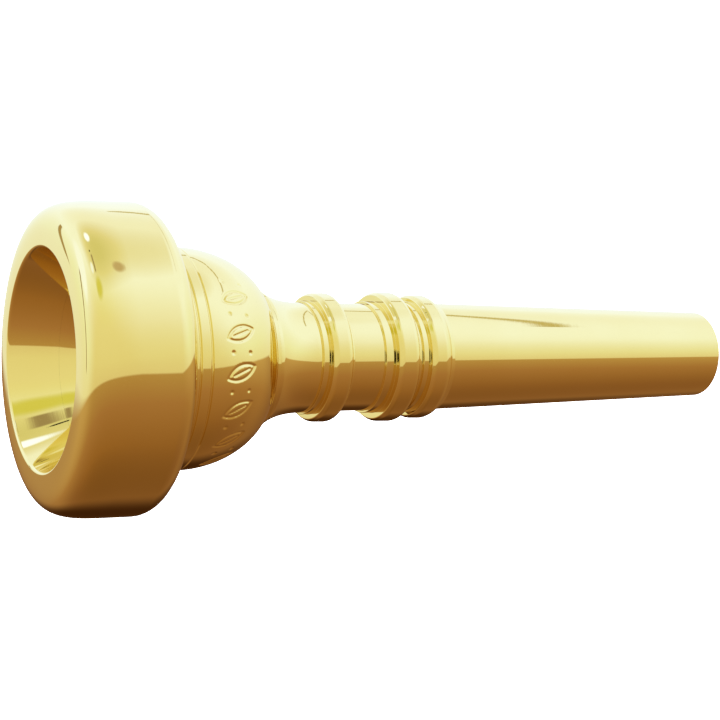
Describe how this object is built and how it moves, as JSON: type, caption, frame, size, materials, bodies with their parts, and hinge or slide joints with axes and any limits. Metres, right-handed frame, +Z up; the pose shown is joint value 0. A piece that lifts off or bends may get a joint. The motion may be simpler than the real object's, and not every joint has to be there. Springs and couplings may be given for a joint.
{
  "type": "brass mouthpiece",
  "caption": "Polished brass cornet mouthpiece, screw-rim kind: rounded rim, engraved bowl, beaded neck and tapered shank.",
  "frame": {"origin": "centre of the bottom of the bounding box, on the surface that the mouthpiece lies on", "axes": "+Z up; the mouthpiece lies on its side with its axis in the XZ plane, rim towards -X, shank towards +X and sloping down by 8.7 degrees"},
  "size_m": [0.07, 0.027, 0.0273],
  "materials": {
    "polished_brass": "mirror polished, clear lacquer",
    "seal_rubber": "smooth black nitrile"
  },
  "bodies": {
    "cup": {"cup": "polished_brass"},
    "rim_seal": {"rim_seal_ring": "seal_rubber"},
    "rim": {"rim": "polished_brass"},
    "backbore_seal": {"backbore_seal_ring": "seal_rubber"},
    "backbore": {"backbore": "polished_brass"}
  },
  "joints": [
    {"name": "rim_travel", "type": "slide", "parent": "cup", "child": "rim_seal", "axis": [-0.9884, 0, 0.152], "range_m": [0, 0.004]},
    {"name": "rim_turn", "type": "hinge", "parent": "rim_seal", "child": "rim", "pos_m": [-0.0333, 0, 0.01451], "axis": [-0.9884, 0, 0.152], "range_deg": [0, 1440]},
    {"name": "backbore_travel", "type": "slide", "parent": "cup", "child": "backbore_seal", "axis": [0.9884, 0, -0.152], "range_m": [0, 0.0045]},
    {"name": "backbore_turn", "type": "hinge", "parent": "backbore_seal", "child": "backbore", "pos_m": [0.00623, 0, 0.00842], "axis": [0.9884, 0, -0.152], "range_deg": [0, 2160]}
  ],
  "couplings": [
    {"joint": "rim_turn", "follows": "rim_travel", "rad_per_m": 6283.2},
    {"joint": "backbore_turn", "follows": "backbore_travel", "rad_per_m": 8377.6}
  ]
}
